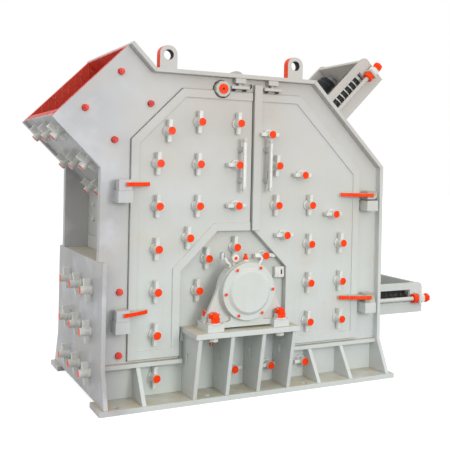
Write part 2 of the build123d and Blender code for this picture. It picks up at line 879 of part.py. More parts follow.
with BuildPart() as curtain_shafts:
    for pivot in (upper_pivot, lower_pivot):
        with BuildSketch(front_plane(-wall_inner_y + liner_gap)):
            with Locations(pivot):
                Circle(pivot_r)
        extrude(amount=2 * (wall_inner_y - liner_gap))
write_piece(curtain_shafts.part, "curtain_shafts")

# Octagonal collars over the ends of the upper curtain shaft
with BuildPart() as shaft_collars:
    for side in (-1, 1):
        with BuildSketch(front_plane(side * (wall_half_width + collar_depth / 2) - collar_depth / 2)):
            with Locations(upper_pivot):
                RegularPolygon(collar_r, collar_sides, rotation=half_side_angle, major_radius=False)
        extrude(amount=collar_depth)
write_piece(shaft_collars.part, "shaft_collars")


# Adjusters: cheeks, bridge, spindles, rubber springs and side rods
bridge_end = bridge_start + bridge_t
cheek_outer_y = cheek_y + cheek_t / 2
rod_y = cheek_outer_y + rod_nut_width / sqrt(3) + rod_gap


def adjuster_cheeks(plane):
    """Both cheeks with their windows and the lugs of the side rods."""
    with BuildPart() as cheeks:
        for side in (-1, 1):
            with BuildSketch(plane.offset(side * cheek_y - cheek_t / 2)) as outline:
                with Locations((adjuster_reach / 2, 0)):
                    Rectangle(adjuster_reach, adjuster_h)
                fillet(outline.vertices().sort_by(lambda v: v.X + v.Y)[-1], cheek_corner_r)
                with Locations((window_start + window_length / 2, window_rise)):
                    Rectangle(window_length, window_h, mode=Mode.SUBTRACT)
            extrude(amount=cheek_t)
            lug_mid_y = cheek_outer_y + rod_lug_reach / 2
            with BuildSketch(plane.offset(side * lug_mid_y - rod_lug_reach / 2)):
                with Locations((rod_lug_start + rod_lug_t / 2, 0)):
                    Rectangle(rod_lug_t, 2 * rod_lug_half)
            extrude(amount=rod_lug_reach)
        with Locations([axis_plane(plane, rod_lug_start, side * rod_y) for side in (-1, 1)]):
            Hole(rod_r + bore_clearance)
    return cheeks.part


def adjuster_bridge(plane):
    """The cross plate that joins both cheeks and carries the spindles."""
    with BuildPart() as bridge:
        with BuildSketch(plane.offset(-cheek_y + cheek_t / 2)):
            with Locations((bridge_start + bridge_t / 2, 0)):
                Rectangle(bridge_t, adjuster_h)
        extrude(amount=2 * cheek_y - cheek_t)
        with Locations([axis_plane(plane, bridge_start, side * spindle_y) for side in (-1, 1)]):
            Hole(spindle_r + bore_clearance)
    return bridge.part


def spindles(pivot, tip, plane):
    """Both spindles of one adjuster, with a nut on each side of the bridge."""
    inward = spindle_run(pivot, tip, plane) - pad_length
    with BuildPart() as pair:
        for side in (-1, 1):
            with BuildSketch(axis_plane(plane, -inward, side * spindle_y)):
                Circle(spindle_r)
            extrude(amount=inward + adjuster_reach + spindle_end)
            for start, length in ((spring_length, bridge_start - spring_length), (bridge_end, nut_t)):
                with BuildSketch(axis_plane(plane, start, side * spindle_y)):
                    RegularPolygon(nut_width / 2, hex_sides, major_radius=False)
                extrude(amount=length)
    return pair.part


def springs(plane):
    """The rubber springs of one adjuster, from the housing to the inner nuts."""
    with BuildPart() as pair:
        for side in (-1, 1):
            with BuildSketch(axis_plane(plane, 0, side * spindle_y)):
                Circle(spring_r)
                Circle(spindle_r + liner_gap, mode=Mode.SUBTRACT)
            extrude(amount=spring_length)
    return pair.part


def side_rods(plane):
    """The side rods of one adjuster, each with a collar, a nut and an end nut."""
    nut_start = rod_lug_start + rod_lug_t
    end_nut_start = nut_start + rod_nut_t
    with BuildPart() as pair:
        for side in (-1, 1):
            with BuildSketch(axis_plane(plane, 0, side * rod_y)):
                Circle(rod_r)
            extrude(amount=end_nut_start)
            with BuildSketch(axis_plane(plane, rod_lug_start - rod_collar_t, side * rod_y)):
                RegularPolygon(rod_collar_width / 2, rod_collar_sides, major_radius=False)
            extrude(amount=rod_collar_t)
            with BuildSketch(axis_plane(plane, nut_start, side * rod_y)):
                RegularPolygon(rod_nut_width / 2, hex_sides, major_radius=False)
            extrude(amount=rod_nut_t)
            with BuildSketch(axis_plane(plane, end_nut_start, side * rod_y)):
                RegularPolygon(end_nut_width / 2, hex_sides, major_radius=False)
            extrude(amount=end_nut_t)
    return pair.part


write_piece(adjuster_cheeks(slope_adjuster_plane), "adjuster_cheeks_upper")
write_piece(adjuster_cheeks(rear_adjuster_plane), "adjuster_cheeks_lower")
write_piece(adjuster_bridge(slope_adjuster_plane), "adjuster_bridge_upper")
write_piece(adjuster_bridge(rear_adjuster_plane), "adjuster_bridge_lower")
with BuildPart() as adjuster_spindles:
    add(spindles(upper_pivot, upper_tip, slope_adjuster_plane))
    add(spindles(lower_pivot, lower_tip, rear_adjuster_plane))
write_piece(adjuster_spindles.part, "adjuster_spindles")
with BuildPart() as rubber_springs:
    add(springs(slope_adjuster_plane))
    add(springs(rear_adjuster_plane))
write_piece(rubber_springs.part, "rubber_springs")
with BuildPart() as adjuster_rods:
    add(side_rods(slope_adjuster_plane))
    add(side_rods(rear_adjuster_plane))
write_piece(adjuster_rods.part, "adjuster_rods")
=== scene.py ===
import json
from math import cos, pi, radians, sin, sqrt

import bpy
from mathutils import Matrix, Vector


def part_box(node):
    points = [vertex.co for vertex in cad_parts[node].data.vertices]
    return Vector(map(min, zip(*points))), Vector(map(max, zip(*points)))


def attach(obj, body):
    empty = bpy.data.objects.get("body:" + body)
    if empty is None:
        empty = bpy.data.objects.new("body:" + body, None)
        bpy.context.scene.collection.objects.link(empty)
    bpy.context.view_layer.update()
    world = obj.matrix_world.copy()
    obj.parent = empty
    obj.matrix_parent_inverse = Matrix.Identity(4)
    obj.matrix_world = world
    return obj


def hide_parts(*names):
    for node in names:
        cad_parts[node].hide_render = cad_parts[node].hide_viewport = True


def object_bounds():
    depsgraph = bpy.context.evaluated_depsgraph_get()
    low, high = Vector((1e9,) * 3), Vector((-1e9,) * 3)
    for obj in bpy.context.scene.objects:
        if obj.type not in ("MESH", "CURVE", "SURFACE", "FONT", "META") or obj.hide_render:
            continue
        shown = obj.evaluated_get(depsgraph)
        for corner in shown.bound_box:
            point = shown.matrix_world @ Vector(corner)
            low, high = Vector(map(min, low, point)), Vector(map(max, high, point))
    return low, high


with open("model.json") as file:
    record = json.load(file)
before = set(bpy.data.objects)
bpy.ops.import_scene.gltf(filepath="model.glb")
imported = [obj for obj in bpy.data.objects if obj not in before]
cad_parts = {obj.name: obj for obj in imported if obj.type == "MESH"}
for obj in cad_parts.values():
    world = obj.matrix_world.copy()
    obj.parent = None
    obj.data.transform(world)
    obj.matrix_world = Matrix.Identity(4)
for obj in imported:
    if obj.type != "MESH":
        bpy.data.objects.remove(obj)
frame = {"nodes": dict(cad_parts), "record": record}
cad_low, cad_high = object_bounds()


# Directions out of the machine's faces
FRONT = Vector((0, -1, 0))
BACK = Vector((0, 1, 0))
FEED = Vector((-1, 0, 0))
UP = Vector((0, 0, 1))
CHUTE_DOWN = Vector((-1, 0, -1)).normalized()
CHUTE_UP = Vector((-1, 0, 1)).normalized()

# Faces and centres, read from the frame
leaf_low, leaf_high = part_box("door_left_front")
right_low, right_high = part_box("door_right_front")
cover_low, cover_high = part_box("bearing_cover_front")
table_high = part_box("bearing_table_front")[1]
border_t = 0.010
panel_y = leaf_low.y + border_t
wall_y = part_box("side_wall_front")[0].y
plate_y = table_high.y
ledge_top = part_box("base_ledge_front")[1].z
feed_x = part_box("feed_end_plate")[0].x
rear_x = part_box("rear_wall_plate")[1].x
rotor_x = (cover_low.x + cover_high.x) / 2
rotor_z = (cover_low.z + cover_high.z) / 2
split_x = (leaf_high.x + right_low.x) / 2


# Finishes


def paint_rgb(red, green, blue):
    """A colour as a paint chart gives it, from 0 to 255, in the light's own scale."""
    return [(c / 255) ** 2.2 for c in (red, green, blue)]


def shader_of(finish):
    return finish.node_tree.nodes["Principled BSDF"]


def new_finish(name, colour, roughness, metallic=0.0):
    """A material with one plain shader, and the nodes that later steps add to."""
    finish = bpy.data.materials.new(name)
    finish.use_nodes = True
    shader = shader_of(finish)
    shader.inputs["Base Color"].default_value = (*colour, 1)
    shader.inputs["Roughness"].default_value = roughness
    shader.inputs["Metallic"].default_value = metallic
    return finish


def node(finish, kind, **settings):
    """A new node of the finish, with its settings."""
    made = finish.node_tree.nodes.new(kind)
    for key, value in settings.items():
        setattr(made, key, value)
    return made


def join(finish, out_socket, in_socket):
    finish.node_tree.links.new(out_socket, in_socket)


def object_place(finish):
    return node(finish, "ShaderNodeTexCoord").outputs["Object"]


def cloud(finish, scale, detail=3.0, low=0.35, high=0.65):
    """Soft patches from 0 to 1 of the given scale."""
    noise = node(finish, "ShaderNodeTexNoise")
    noise.inputs["Scale"].default_value = scale
    noise.inputs["Detail"].default_value = detail
    join(finish, object_place(finish), noise.inputs["Vector"])
    spread = node(finish, "ShaderNodeMapRange")
    spread.inputs["From Min"].default_value = low
    spread.inputs["From Max"].default_value = high
    join(finish, noise.outputs["Fac"], spread.inputs["Value"])
    return spread.outputs["Result"]


def tint(finish, colour_from, colour_to, amount):
    """A mix of two colours; each is a socket or plain values."""
    mix = node(finish, "ShaderNodeMix", data_type="RGBA")
    for socket, colour in (("A", colour_from), ("B", colour_to)):
        slot = [s for s in mix.inputs if s.name == socket and s.type == "RGBA"][0]
        if isinstance(colour, (list, tuple)):
            slot.default_value = (*colour, 1)
        else:
            join(finish, colour, slot)
    join(finish, amount, mix.inputs["Factor"])
    return [s for s in mix.outputs if s.type == "RGBA"][0]


def share(finish, socket, part):
    """The socket's value times a part."""
    times = node(finish, "ShaderNodeMath", operation="MULTIPLY")
    join(finish, socket, times.inputs[0])
    times.inputs[1].default_value = part
    return times.outputs[0]


def colour_of(finish, socket):
    join(finish, socket, shader_of(finish).inputs["Base Color"])


def roughness_of(finish, low, high, scale):
    """Roughness that wanders between two values."""
    spread = node(finish, "ShaderNodeMapRange")
    spread.inputs["To Min"].default_value = low
    spread.inputs["To Max"].default_value = high
    join(finish, cloud(finish, scale), spread.inputs["Value"])
    join(finish, spread.outputs["Result"], shader_of(finish).inputs["Roughness"])


def relief(finish, height, strength, distance):
    """A bump of the surface from one height."""
    bump = node(finish, "ShaderNodeBump")
    bump.inputs["Strength"].default_value = strength
    bump.inputs["Distance"].default_value = distance
    join(finish, height, bump.inputs["Height"])
    join(finish, bump.outputs["Normal"], shader_of(finish).inputs["Normal"])


def upward(finish):
    """One on faces that look up, where dust lies, and nothing elsewhere."""
    split = node(finish, "ShaderNodeSeparateXYZ")
    join(finish, node(finish, "ShaderNodeTexCoord").outputs["Normal"], split.inputs["Vector"])
    spread = node(finish, "ShaderNodeMapRange")
    spread.inputs["From Min"].default_value = 0.55
    spread.inputs["From Max"].default_value = 0.95
    join(finish, split.outputs["Z"], spread.inputs["Value"])
    return spread.outputs["Result"]


# The top and low tones are painted shade and painted light, set by height.
cream = paint_rgb(204, 204, 197)
cream_top_shade = paint_rgb(186, 181, 174)
cream_low_light = paint_rgb(202, 208, 203)
# The feed tone is painted shade on the feed side.
cream_feed_shade = paint_rgb(166, 164, 166)
# The glare tone is a painted reflection.
cream_glare = paint_rgb(200, 200, 206)
# The cool tone is painted reflection in large patches.
cream_cool_reflection = paint_rgb(201, 205, 207)
cream_warm = paint_rgb(197, 191, 178)
cream_grey = paint_rgb(186, 187, 186)
dust = paint_rgb(190, 179, 154)
cream_top_shade_z, cream_low_light_z = 2.1, 0.6
feed_shade_from_x, feed_shade_to_x = -0.88, -1.12


def streaks(finish, across, upright, low, high):
    """Upright runs from 0 to 1, as sprayed paint leaves on tall plates."""
    stretch = node(finish, "ShaderNodeMapping")
    stretch.inputs["Scale"].default_value = (across, across, upright)
    join(finish, object_place(finish), stretch.inputs["Vector"])
    noise = node(finish, "ShaderNodeTexNoise")
    noise.inputs["Detail"].default_value = 4.0
    join(finish, stretch.outputs["Vector"], noise.inputs["Vector"])
    spread = node(finish, "ShaderNodeMapRange")
    spread.inputs["From Min"].default_value = low
    spread.inputs["From Max"].default_value = high
    join(finish, noise.outputs["Fac"], spread.inputs["Value"])
    return spread.outputs["Result"]


def along(finish, axis, start, end):
    """Nothing at one place along an axis of the machine and one at the other."""
    split = node(finish, "ShaderNodeSeparateXYZ")
    join(finish, object_place(finish), split.inputs["Vector"])
    spread = node(finish, "ShaderNodeMapRange")
    spread.inputs["From Min"].default_value = start
    spread.inputs["From Max"].default_value = end
    join(finish, split.outputs[axis], spread.inputs["Value"])
    return spread.outputs["Result"]


def both(finish, first, second):
    """The product of two amounts."""
    times = node(finish, "ShaderNodeMath", operation="MULTIPLY")
    join(finish, first, times.inputs[0])
    join(finish, second, times.inputs[1])
    return times.outputs[0]


def make_cream_paint():
    """Off-white gloss paint, sprayed over plate, with clouds, runs and dust on top faces, and painted light:
    shade high up and on the feed side, light low down, glare on the feed side and cool reflections in
    patches.
    """
    finish = new_finish("cream_paint", cream, 0.3)
    shader_of(finish).inputs["Specular IOR Level"].default_value = 0.14
    # Painted shade darkens the top and painted light brightens the foot.
    body = tint(finish, cream_top_shade, cream_low_light, along(finish, "Z", cream_top_shade_z, cream_low_light_z))
    # Painted shade darkens the feed side.
    feed_shade = along(finish, "X", feed_shade_from_x, feed_shade_to_x)
    body = tint(finish, body, cream_feed_shade, share(finish, feed_shade, 0.9))
    # Painted glare: pale reflection patches on the feed side.
    glare = both(finish, feed_shade, cloud(finish, 3.4, 7.0, 0.52, 0.66))
    body = tint(finish, body, cream_glare, share(finish, glare, 0.8))
    # Painted reflection: large cool patches.
    body = tint(finish, body, cream_cool_reflection, share(finish, cloud(finish, 1.3), 0.5))
    body = tint(finish, body, cream_warm, share(finish, cloud(finish, 4.5, 5.0, 0.5, 0.75), 0.4))
    body = tint(finish, body, cream_grey, share(finish, streaks(finish, 5.0, 0.7, 0.5, 0.72), 0.14))
    body = tint(finish, body, cream_warm, share(finish, cloud(finish, 38.0, 5.0, 0.62, 0.72), 0.35))
    dusty = share(finish, cloud(finish, 9.0, 6.0, 0.2, 0.6), 0.85)
    colour_of(finish, tint(finish, body, dust, both(finish, upward(finish), dusty)))
    roughness_of(finish, 0.34, 0.54, 3.0)
    relief(finish, cloud(finish, 2.2, 4.0, 0.2, 0.8), 0.35, 0.004)
    return finish


def make_white_paint():
    """Fresh white paint on fittings, nuts and washers."""
    white = paint_rgb(215, 216, 210)
    finish = new_finish("white_paint", white, 0.34)
    patches = share(finish, cloud(finish, 40.0, 4.0, 0.5, 0.75), 0.6)
    colour_of(finish, tint(finish, white, paint_rgb(188, 186, 178), patches))
    roughness_of(finish, 0.26, 0.44, 20.0)
    relief(finish, cloud(finish, 60.0, 3.0, 0.3, 0.7), 0.2, 0.001)
    return finish


def make_red_paint():
    """Orange-red gloss paint, brushed on by hand."""
    red = paint_rgb(243, 66, 8)
    finish = new_finish("red_paint", red, 0.38)
    shader_of(finish).inputs["Specular IOR Level"].default_value = 0.15
    patches = share(finish, cloud(finish, 45.0, 4.0, 0.45, 0.7), 0.55)
    body = tint(finish, red, paint_rgb(222, 46, 8), patches)
    # Pale pink flecks are painted glints.
    painted_glints = share(finish, cloud(finish, 95.0, 2.0, 0.62, 0.76), 0.5)
    colour_of(finish, tint(finish, body, paint_rgb(248, 128, 92), painted_glints))
    roughness_of(finish, 0.3, 0.5, 40.0)
    relief(finish, cloud(finish, 120.0, 2.0, 0.3, 0.7), 0.25, 0.001)
    return finish


def make_dark_oxide_and_shade():
    """Dark bare metal on the clamp hook, and painted shade in the lug eyes, the centre holes and the latch
    slot and on the clamp bolts under the feet.
    """
    finish = new_finish("dark_oxide_and_shade", paint_rgb(46, 43, 41), 0.6, 0.4)
    patches = cloud(finish, 55.0, 4.0, 0.45, 0.75)
    colour_of(finish, tint(finish, paint_rgb(44, 42, 40), paint_rgb(78, 68, 60), patches))
    roughness_of(finish, 0.5, 0.75, 40.0)
    return finish


def make_steel():
    """Machined steel, lightly oiled."""
    finish = new_finish("bright_steel", paint_rgb(180, 181, 183), 0.3, 1.0)
    patches = cloud(finish, 30.0, 6.0, 0.5, 0.8)
    colour_of(finish, tint(finish, paint_rgb(184, 185, 187), paint_rgb(140, 138, 134), patches))
    roughness_of(finish, 0.24, 0.42, 60.0)
    return finish


def make_iron():
    """Rough cast iron of the wearing parts."""
    finish = new_finish("wear_iron", paint_rgb(92, 88, 84), 0.6, 0.7)
    rust = cloud(finish, 12.0, 7.0, 0.55, 0.8)
    colour_of(finish, tint(finish, paint_rgb(96, 92, 88), paint_rgb(104, 78, 60), rust))
    roughness_of(finish, 0.5, 0.75, 25.0)
    relief(finish, cloud(finish, 70.0, 5.0, 0.3, 0.7), 0.5, 0.002)
    return finish


def make_rubber():
    """Black moulded rubber with a little pale dust."""
    finish = new_finish("black_rubber", paint_rgb(30, 31, 33), 0.55)
    dusty = share(finish, cloud(finish, 20.0, 6.0, 0.55, 0.8), 0.6)
    colour_of(finish, tint(finish, paint_rgb(26, 27, 29), paint_rgb(84, 86, 88), dusty))
    roughness_of(finish, 0.42, 0.68, 15.0)
    return finish


def make_liner_red():
    """Red primer on the wear plates of the chute."""
    finish = new_finish("liner_red", paint_rgb(216, 58, 40), 0.5)
    body = tint(finish, paint_rgb(222, 60, 40), paint_rgb(190, 50, 40), cloud(finish, 6.0, 5.0, 0.4, 0.7))
    scuffs = share(finish, cloud(finish, 32.0, 4.0, 0.55, 0.72), 0.5)
    colour_of(finish, tint(finish, body, paint_rgb(228, 108, 86), scuffs))
    roughness_of(finish, 0.4, 0.62, 12.0)
    relief(finish, cloud(finish, 50.0, 4.0, 0.3, 0.7), 0.3, 0.001)
    return finish


def make_pale_red():
    """The same primer in a paler tone, on the ribs and seams of the chute's liners."""
    finish = new_finish("pale_red", paint_rgb(214, 110, 90), 0.5)
    patches = cloud(finish, 18.0, 4.0, 0.4, 0.7)
    colour_of(finish, tint(finish, paint_rgb(216, 112, 92), paint_rgb(196, 74, 54), patches))
    roughness_of(finish, 0.4, 0.6, 20.0)
    return finish


cream_paint = make_cream_paint()
white_paint = make_white_paint()
red_paint = make_red_paint()
dark_oxide_and_shade = make_dark_oxide_and_shade()
bright_steel = make_steel()
wear_iron = make_iron()
black_rubber = make_rubber()
liner_red = make_liner_red()
pale_red = make_pale_red()

slot_finish = {
    "housing_paint": cream_paint,
    "machined_steel": bright_steel,
    "wear_iron": wear_iron,
    "red_paint": liner_red,
    "black_rubber": black_rubber,
}
for subpart in frame["record"]["subparts"]:
    solid = frame["nodes"][subpart["node"]]
    solid.data.materials.clear()
    solid.data.materials.append(slot_finish[subpart["material_slot"]])


# Modelling steps


smooth_angle = radians(40)
merge_reach = 0.00005
bar_round = 0.009


def clear_selection():
    bpy.ops.object.select_all(action="DESELECT")


def choose(piece):
    """Only this piece is selected and active."""
    clear_selection()
    piece.select_set(True)
    bpy.context.view_layer.objects.active = piece


def settle(piece, name, *finishes):
    """Give a new piece its name and finishes, with its place in its mesh."""
    choose(piece)
    bpy.ops.object.transform_apply(location=True, rotation=True, scale=True)
    piece.name = name
    piece.data.name = name
    for finish in finishes:
        piece.data.materials.append(finish)
    return piece


def new_disc(name, radius, start, end, finish, sides=32):
    """A cylinder on the Z axis from start to end."""
    clear_selection()
    bpy.ops.mesh.primitive_cylinder_add(
        vertices=sides, radius=radius, depth=end - start, location=(0, 0, (start + end) / 2))
    return settle(bpy.context.object, name, finish)


def new_block(name, low, high, finish):
    """A block between two corners."""
    clear_selection()
    low, high = Vector(low), Vector(high)
    bpy.ops.mesh.primitive_cube_add(size=1, location=(low + high) / 2)
    bpy.context.object.scale = high - low
    return settle(bpy.context.object, name, finish)


def pick_vertices(piece, test):
    """Open a piece for editing with only the vertices that pass the test selected."""
    choose(piece)
    bpy.ops.object.mode_set(mode="EDIT")
    bpy.ops.mesh.select_mode(type="VERT")
    bpy.ops.mesh.select_all(action="DESELECT")
    bpy.ops.object.mode_set(mode="OBJECT")
    for vertex in piece.data.vertices:
        vertex.select = test(vertex.co)
    bpy.ops.object.mode_set(mode="EDIT")


def pick_edges(piece, test):
    """Open a piece for editing with only the edges whose two ends pass the test selected."""
    choose(piece)
    bpy.ops.object.mode_set(mode="EDIT")
    bpy.ops.mesh.select_mode(type="EDGE")
    bpy.ops.mesh.select_all(action="DESELECT")
    bpy.ops.object.mode_set(mode="OBJECT")
    points = piece.data.vertices
    for edge in piece.data.edges:
        edge.select = test(points[edge.vertices[0]].co, points[edge.vertices[1]].co)
    bpy.ops.object.mode_set(mode="EDIT")


def pick_faces(piece, test):
    """Open a piece for editing with only the faces that pass the test selected."""
    choose(piece)
    bpy.ops.object.mode_set(mode="EDIT")
    bpy.ops.mesh.select_mode(type="FACE")
    bpy.ops.mesh.select_all(action="DESELECT")
    bpy.ops.object.mode_set(mode="OBJECT")
    for face in piece.data.polygons:
        face.select = test(face)
    bpy.ops.object.mode_set(mode="EDIT")


def done(piece):
    bpy.ops.object.mode_set(mode="OBJECT")
    return piece


def taper(piece, test, factor):
    """Scale the chosen vertices about their middle."""
    pick_vertices(piece, test)
    bpy.ops.transform.resize(value=factor)
    return done(piece)


def soften(piece, width, segments=2, angle=30):
    """Round the piece's edges and smooth its curved faces."""
    choose(piece)
    bevel = piece.modifiers.new("edges", "BEVEL")
    bevel.width = width
    bevel.segments = segments
    bevel.limit_method = "ANGLE"
    bevel.angle_limit = radians(angle)
    bpy.ops.object.modifier_apply(modifier="edges")
    bpy.ops.object.shade_smooth_by_angle(angle=smooth_angle)
    weights = piece.modifiers.new("flat_faces", "WEIGHTED_NORMAL")
    weights.keep_sharp = True
    bpy.ops.object.modifier_apply(modifier="flat_faces")
    return piece


def joined(name, pieces):
    """Several pieces as one."""
    clear_selection()
    for piece in pieces:
        piece.select_set(True)
    bpy.context.view_layer.objects.active = pieces[0]
    bpy.ops.object.join()
    pieces[0].name = name
    pieces[0].data.name = name
    return pieces[0]


def stand(point, axis, top=UP):
    """Where a piece stands: its own Z along the axis, and its Y nearest to the top direction."""
    out = Vector(axis).normalized()
    high = (Vector(top) - out * out.dot(top)).normalized()
    across = high.cross(out)
    place = Matrix((across, high, out)).transposed().to_4x4()
    place.translation = point
    return place


def copies(name, piece, places):
    """Copies of a piece, each with its own mesh, joined as one piece."""
    made = []
    for place in places:
        twin = piece.copy()
        twin.data = piece.data.copy()
        twin.data.transform(place)
        bpy.context.scene.collection.objects.link(twin)
        made.append(twin)
    return joined(name, made)


def discard(*pieces):
    for piece in pieces:
        bpy.data.objects.remove(piece)


def keep(piece, body):
    """The finished piece rides on its body."""
    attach(piece, body)
    return piece


def merged_copy(node_name, name, finish):
    """A copy of a solid of the frame with its loose triangles merged into whole faces."""
    solid = frame["nodes"][node_name]
    twin = solid.copy()
    twin.data = solid.data.copy()
    twin.parent = None
    twin.name = name
    for key in list(twin.keys()):
        del twin[key]
    bpy.context.scene.collection.objects.link(twin)
    choose(twin)
    bpy.ops.object.mode_set(mode="EDIT")
    bpy.ops.mesh.select_all(action="SELECT")
    bpy.ops.mesh.remove_doubles(threshold=merge_reach)
    bpy.ops.mesh.dissolve_limited(angle_limit=radians(1))
    bpy.ops.object.mode_set(mode="OBJECT")
    twin.data.materials.clear()
    twin.data.materials.append(finish)
    return twin


def painted(piece, test, finish):
    """Give the faces that pass the test another finish."""
    piece.data.materials.append(finish)
    pick_faces(piece, test)
    piece.active_material_index = len(piece.data.materials) - 1
    bpy.ops.object.material_slot_assign()
    return done(piece)


def pressed(piece, test, *steps):
    """Inset the chosen faces in steps, each a width and a height out of the face."""
    pick_faces(piece, test)
    for width, height in steps:
        bpy.ops.mesh.inset(thickness=width, depth=height)
    done(piece)
    bpy.ops.object.shade_smooth_by_angle(angle=smooth_angle)
    return piece


def put(piece, point, axis, top=UP):
    """Stand a piece modelled on the Z axis at its place."""
    piece.data.transform(stand(point, axis, top))
    return piece


def turned(piece, degrees):
    piece.data.transform(Matrix.Rotation(radians(degrees), 4, "Z"))
    return piece


def mirrored(piece, name):
    """The twin of a piece on the other side of the machine."""
    twin = piece.copy()
    twin.data = piece.data.copy()
    bpy.context.scene.collection.objects.link(twin)
    twin.data.transform(Matrix.Scale(-1, 4, BACK))
    twin.name = name
    choose(twin)
    bpy.ops.object.mode_set(mode="EDIT")
    bpy.ops.mesh.select_all(action="SELECT")
    bpy.ops.mesh.normals_make_consistent(inside=False)
    return done(twin)


def dressed(node_name, body, slot, width=0.003, paint=(), rounded=None):
    """A solid of the frame with painted faces and rounded edges, standing for it."""
    twin = merged_copy(node_name, node_name + "_finished", slot_finish[slot])
    if rounded:
        pick_edges(twin, rounded)
        bpy.ops.mesh.bevel(offset=bar_round, segments=3)
        done(twin)
    for test, finish in paint:
        painted(twin, test, finish)
    soften(twin, width)
    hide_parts(node_name)
    return keep(twin, body)


def new_nut(name, across, start, end, finish, turn=0):
    """A hexagon nut with its corners rounded."""
    nut = turned(new_disc(name, across / sqrt(3), start, end, finish, 6), turn)
    return soften(nut, across / 30)


def new_strip(name, start, end, width, thick, finish, out=FRONT):
    """A flat bar from one point to another, lying on a face that looks out."""
    start, end = Vector(start), Vector(end)
    bar = new_block(name, (-width / 2, 0, 0), (width / 2, (end - start).length, thick), finish)
    return put(bar, start, out, end - start)


weld_pitch = 0.014


def new_weld(start, end, radius=0.006):
    """A weld bead from one point to another, with its ripples."""
    start, end = Vector(start), Vector(end)
    run = end - start
    bead = new_disc("weld_bead", radius, 0, weld_pitch, cream_paint, 8)
    taper(bead, lambda co: co.z > weld_pitch / 2, (0.72, 0.72, 1))
    choose(bead)
    ripples = bead.modifiers.new("ripples", "ARRAY")
    ripples.count = max(2, int(run.length / weld_pitch))
    ripples.relative_offset_displace = (0, 0, 1)
    bpy.ops.object.modifier_apply(modifier="ripples")
    upright = abs(run.normalized().z) >= 0.9
    return put(bead, start, run, FRONT if upright else UP)


def new_pipe(name, points, radius, finish):
    """A bent pipe through its points."""
    curve = bpy.data.curves.new(name, "CURVE")
    curve.dimensions = "3D"
    line = curve.splines.new("NURBS")
    line.points.add(len(points) - 1)
    for knot, point in zip(line.points, points):
        knot.co = (*point, 1)
    line.order_u = 3
    line.use_endpoint_u = True
    curve.bevel_depth = radius
    curve.bevel_resolution = 3
    curve.use_fill_caps = True
    pipe = bpy.data.objects.new(name, curve)
    bpy.context.scene.collection.objects.link(pipe)
    choose(pipe)
    bpy.ops.object.convert(target="MESH")
    pipe = bpy.context.object
    pipe.data.materials.append(finish)
    bpy.ops.object.shade_smooth_by_angle(angle=smooth_angle)
    return pipe


ends = ("front", "back")
hands = ("left", "right")


def pair(piece, body, name):
    """Keep a front piece and its twin at the back; body may name the door leaf's end."""
    piece.name = name + "_front"
    piece.data.name = piece.name
    twin = mirrored(piece, name + "_back")
    keep(piece, body.replace("END", "front"))
    keep(twin, body.replace("END", "back"))


# Rounded edges on the plates that show, with the chute's mouth edges red.
# Along the chute, at forty-five degrees, z - x tells the way up and z + x the way across.
mouth_diff = 3.499
plate_round = 0.003
thin_round = 0.0025
side_nodes = ("base_rail_", "base_ledge_", "base_gussets_",
              "bearing_table_", "hinge_blocks_", "door_clamps_")
single_nodes = ("roof_plate", "slope_plate", "rear_wall_plate",
                "feed_end_plate", "feed_end_shelf", "feed_end_panel",
                "hopper_floor", "hopper_roof",
                "adjuster_cheeks_upper", "adjuster_cheeks_lower",
                "adjuster_bridge_upper", "adjuster_bridge_lower")


def is_mouth_edge(face):
    return face.normal.dot(CHUTE_UP) > 0.99 and face.center.z - face.center.x > mouth_diff - 0.002


for end in ends:
    dressed("side_wall_" + end, "housing", "housing_paint", thin_round, [(is_mouth_edge, liner_red)])
    for name in side_nodes:
        dressed(name + end, "housing", "housing_paint", thin_round)
    for hand in hands:
        dressed(f"door_{hand}_{end}", f"{hand}_{end}_door", "housing_paint", plate_round)
for name in single_nodes:
    dressed(name, "housing", "housing_paint", plate_round)

# Door straps: their front edges are red
hinge_zs = {"left": (1.493, 0.602), "right": (1.420, 0.600)}
strap_rise = 0.030
strap_t = 0.028
strap_back = 0.574
knuckle_face = 0.645


def strap_edge(zs):
    """A test for the front edges of the straps on hinges at these heights."""
    def test(face):
        out = abs(face.center.y)
        level = any(z + strap_rise < face.center.z < z + strap_rise + strap_t + 0.001 for z in zs)
        knuckle = abs(out - knuckle_face) < 0.002 and abs(face.normal.y) > 0.999
        return level and out > strap_back and abs(face.normal.y) > 0.3 and not knuckle
    return test


# The handle bars beside the split are round
handle_xs = {"left": split_x - 0.099, "right": split_x + 0.119}
handle_z0, handle_z1 = 1.490, 1.880
handle_reach = 0.030


def near_handle(place):
    return min(abs(place.x - x) for x in handle_xs.values()) < handle_reach


def is_bar_edge(start, end):
    return near_handle(start) and near_handle(end) and abs(start.z - end.z) > 0.25


def is_bar_face(face):
    return near_handle(face.center) and abs(face.center.y) > -panel_y + handle_reach


for hand in hands:
    for end in ends:
        paint = [(strap_edge(hinge_zs[hand]), red_paint), (is_bar_face, white_paint)]
        dressed(f"door_fittings_{hand}_{end}", f"{hand}_{end}_door", "housing_paint",
                plate_round, paint, is_bar_edge)

# Lifting lugs: the feed side of the band is red, and the eye is painted dark as painted shade
lug_low, lug_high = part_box("lifting_lugs")
lug_w = 0.134
lug_eye_z = lug_high.z - lug_w / 2
lug_xs = (lug_low.x + lug_w / 2, lug_high.x - lug_w / 2)
lug_eye_r = 0.036


def from_lug_eye(face):
    """How far a face lies from the eye of the nearest lug."""
    rise = face.center.z - lug_eye_z
    return min(sqrt((face.center.x - x) ** 2 + rise ** 2) for x in lug_xs)


def is_lug_band(face):
    return abs(face.normal.y) < 0.3


def is_red_on_lug(face):
    """The front lugs are red over their tops too, and the back lugs on their feed sides alone."""
    furthest = 0.2 if face.center.y < 0 else -0.75
    return is_lug_band(face) and face.normal.x < furthest and from_lug_eye(face) > lug_eye_r + 0.006


